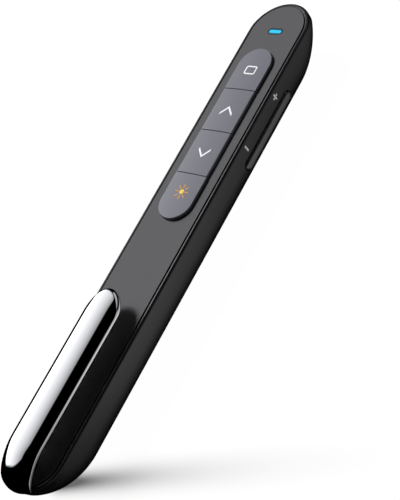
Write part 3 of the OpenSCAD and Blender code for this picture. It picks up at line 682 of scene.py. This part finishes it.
# ---- Studio ----
# White paper sweep under one lamp at the upper left. Only the gloss sees the rest: a tall
# softbox on the left, a bright horizon on the right, two weak cards and a pool of light on the
# paper.
mesh = bmesh.new()
bmesh.ops.create_grid(mesh, x_segments=8, y_segments=8, size=3.0)
data = bpy.data.meshes.new("floor")
mesh.to_mesh(data)
mesh.free()
floor = bpy.data.objects.new("floor", data)
bpy.context.scene.collection.objects.link(floor)
paper = bpy.data.materials.new("white paper sweep")
paper.use_nodes = True
data.materials.append(paper)
tree = paper.node_tree
tree.nodes.clear()
rays = add(tree, "ShaderNodeLightPath")
at = add(tree, "ShaderNodeTexCoord").outputs["Object"]
spot = add(tree, "ShaderNodeSeparateXYZ", {0: at})

# A shadow painted on the paper by the tail: a streak that widens and fades as it runs out
streak_turn = math.radians(24)
streak_start = Vector((-0.4, -75.0, 0)) * mm
streak_before = 6 * mm
streak_after = 1 * mm
streak_width = 1.8 * mm
streak_spread = 0.03
streak_fade = 26 * mm
streak_strength = 1.11
streak_darkest = 0.85
streak_along = Vector((math.cos(streak_turn), math.sin(streak_turn), 0))
streak_across = Vector((-math.sin(streak_turn), math.cos(streak_turn), 0))
offset = add(tree, "ShaderNodeVectorMath", {0: at, 1: streak_start}, operation="SUBTRACT")
along, across = (
    add(tree, "ShaderNodeVectorMath", {0: offset, 1: way}, operation="DOT_PRODUCT").outputs["Value"]
    for way in (streak_along, streak_across))
begun = add(tree, "ShaderNodeMapRange", {
    "Value": along, "From Min": -streak_before, "From Max": streak_after,
    "To Max": streak_strength}, interpolation_type="SMOOTHSTEP")
run = add(tree, "ShaderNodeMath", {0: along, 1: 0.0}, operation="MAXIMUM")
width = add(tree, "ShaderNodeMath", {
    0: run, 1: streak_spread, 2: streak_width}, operation="MULTIPLY_ADD")
reach = add(tree, "ShaderNodeMath", {0: across, 1: width}, operation="DIVIDE")
reach_squared = add(tree, "ShaderNodeMath", {0: reach, 1: reach}, operation="MULTIPLY")
run_fall = add(tree, "ShaderNodeMath", {0: run, 1: -streak_fade}, operation="DIVIDE")
exponent = add(tree, "ShaderNodeMath", {
    0: reach_squared, 1: -0.5, 2: run_fall}, operation="MULTIPLY_ADD")
bell = add(tree, "ShaderNodeMath", {0: exponent}, operation="EXPONENT")
streak = add(tree, "ShaderNodeMath", {0: begun, 1: bell}, operation="MULTIPLY")
shade = add(tree, "ShaderNodeMath", {0: streak, 1: streak_darkest}, operation="MINIMUM")

# The camera sees the paper an even white, with a trace of its real light and shade
paper_white = 1.03
paper_evenness = 0.96
matt = add(tree, "ShaderNodeBsdfDiffuse", {"Color": linear("#f4f4f4")})
# Painted shadow: the streak takes away from the white that the camera sees on the paper
white = add(tree, "ShaderNodeMath", {
    0: shade, 1: -paper_white, 2: paper_white}, operation="MULTIPLY_ADD")
lit = add(tree, "ShaderNodeEmission", {"Color": [1, 1, 1, 1], "Strength": white})
evened = add(tree, "ShaderNodeMath", {
    0: rays.outputs["Is Camera Ray"], 1: paper_evenness}, operation="MULTIPLY")
seen = add(tree, "ShaderNodeMixShader", {0: evened, 1: matt, 2: lit})
soft = "SMOOTHSTEP"
steady = "LINEAR"


def card(tree, *edges):
    """Strength of a card of light: the product of its edges. An edge is the value that it reads,
    where it starts and ends, the strength at both, and how it runs between them."""
    strength = 1.0
    for value, start, end, low, high, run in edges:
        edge = add(tree, "ShaderNodeMapRange", {
            "Value": value, "From Min": start, "From Max": end, "To Min": low, "To Max": high},
            interpolation_type=run)
        strength = add(tree, "ShaderNodeMath", {0: strength, 1: edge}, operation="MULTIPLY")
    return strength


# The pool starts beside the right wall, and fades outwards and towards nose and tail
pool = card(
    tree,
    (spot.outputs["X"], 8 * mm, 27 * mm, 0.0, 1.0, soft),
    (spot.outputs["X"], 30 * mm, 400 * mm, 0.97, 0.4, steady),
    (spot.outputs["Y"], -95 * mm, -30 * mm, 0.0, 1.0, soft),
    (spot.outputs["Y"], -20 * mm, 60 * mm, 0.95, 0.5, steady),
    (spot.outputs["Y"], 140 * mm, 100 * mm, 0.0, 1.0, soft))
glow = add(tree, "ShaderNodeEmission", {"Color": [1, 1, 1, 1], "Strength": pool})
both = add(tree, "ShaderNodeMixShader", {0: rays.outputs["Is Glossy Ray"], 1: seen, 2: glow})
add(tree, "ShaderNodeOutputMaterial", {"Surface": both})

world = bpy.data.worlds.new("studio")
bpy.context.scene.world = world
world.use_nodes = True
tree = world.node_tree
tree.nodes.clear()
rays = add(tree, "ShaderNodeLightPath")
heading = add(tree, "ShaderNodeTexCoord").outputs["Generated"]
ways = add(tree, "ShaderNodeSeparateXYZ", {0: heading})
to_x, to_y, to_z = (ways.outputs[name] for name in "XYZ")
# The softbox ends towards the tail in an arc, furthest out at arc_middle
arc_middle = -0.64
arc_bend = 2.0
off_middle = add(tree, "ShaderNodeMath", {0: to_x, 1: arc_middle}, operation="SUBTRACT")
squared = add(tree, "ShaderNodeMath", {0: off_middle, 1: off_middle}, operation="MULTIPLY")
to_arc = add(tree, "ShaderNodeMath", {0: squared, 1: -arc_bend, 2: to_y}, operation="MULTIPLY_ADD")
softbox = card(
    tree,
    (to_x, -0.82, -0.42, 1.55, 0.5, steady),  # Weaker towards its right edge
    (to_x, -0.80, -0.92, 1.0, 4.2, soft),  # Strongest low on the left
    (to_x, -0.345, -0.405, 0.0, 1.0, soft),  # Right edge
    (to_arc, -0.56, -0.5, 0.0, 1.0, soft),  # Edge towards the tail
    (to_y, 0.56, 0.42, 0.0, 1.0, soft),  # Edge towards the nose
    (to_z, 0.11, 0.28, 0.0, 1.0, soft))  # Edge towards the ground
horizon = card(
    tree,
    (to_x, 0.74, 0.84, 0.0, 1.0, soft),
    (to_z, 0.45, 0.0, 0.0, 0.95, steady))
# Two weak cards, one high behind the nose and one low at the tail's right
nose_card = card(
    tree,
    (to_x, -0.45, -0.3, 0.0, 0.6, soft),
    (to_y, 0.5, 0.62, 0.0, 1.0, soft),
    (to_z, 0.45, 0.6, 0.0, 1.0, soft))
tail_card = card(
    tree,
    (to_x, 0.45, 0.6, 0.0, 0.5, soft),
    (to_y, -0.45, -0.6, 0.0, 1.0, soft),
    (to_z, 0.5, 0.35, 0.0, 1.0, soft))
cards = 0.0
for strength in (softbox, horizon, nose_card, tail_card):
    cards = add(tree, "ShaderNodeMath", {0: cards, 1: strength}, operation="ADD")
# Matt surfaces get a trace of light from all round, and the camera and glass see white
fill = 0.022
gloss = add(tree, "ShaderNodeMath", {0: cards, 1: rays.outputs["Is Glossy Ray"]}, operation="MULTIPLY")
direct = add(tree, "ShaderNodeMath", {
    0: rays.outputs["Is Camera Ray"], 1: rays.outputs["Is Transmission Ray"]}, operation="MAXIMUM")
other = add(tree, "ShaderNodeMath", {
    0: rays.outputs["Is Diffuse Ray"], 1: fill, 2: direct}, operation="MULTIPLY_ADD")
all_light = add(tree, "ShaderNodeMath", {0: gloss, 1: other}, operation="ADD")
sky = add(tree, "ShaderNodeBackground", {"Color": [1, 1, 1, 1], "Strength": all_light})
add(tree, "ShaderNodeOutputWorld", {"Surface": sky})

lamp_from = Vector((-0.65, 0.26, 0.72))
lamp = bpy.data.lights.new("key lamp", "SUN")
lamp.energy = 4.36
lamp.angle = 0.3
key_lamp = bpy.data.objects.new("key lamp", lamp)
bpy.context.scene.collection.objects.link(key_lamp)
key_lamp.rotation_mode = "QUATERNION"
key_lamp.rotation_quaternion = lamp_from.to_track_quat("Z", "Y")
key_lamp.visible_glossy = False

lens = bpy.data.cameras.new("camera")
lens.lens = 75.36
lens.sensor_width = 36
lens.clip_start = 0.01
lens.clip_end = 20
camera = bpy.data.objects.new("camera", lens)
bpy.context.scene.collection.objects.link(camera)
# Its columns are the camera's right, up and back, and where it stands
camera.matrix_world = Matrix((
    (0.7302, -0.1853, 0.6576, 0.20434),
    (0.4648, 0.8402, -0.2794, -0.08375),
    (-0.5007, 0.5097, 0.6996, 0.21447),
    (0, 0, 0, 1)))
bpy.context.scene.camera = camera
bpy.context.scene.view_settings.view_transform = "Standard"
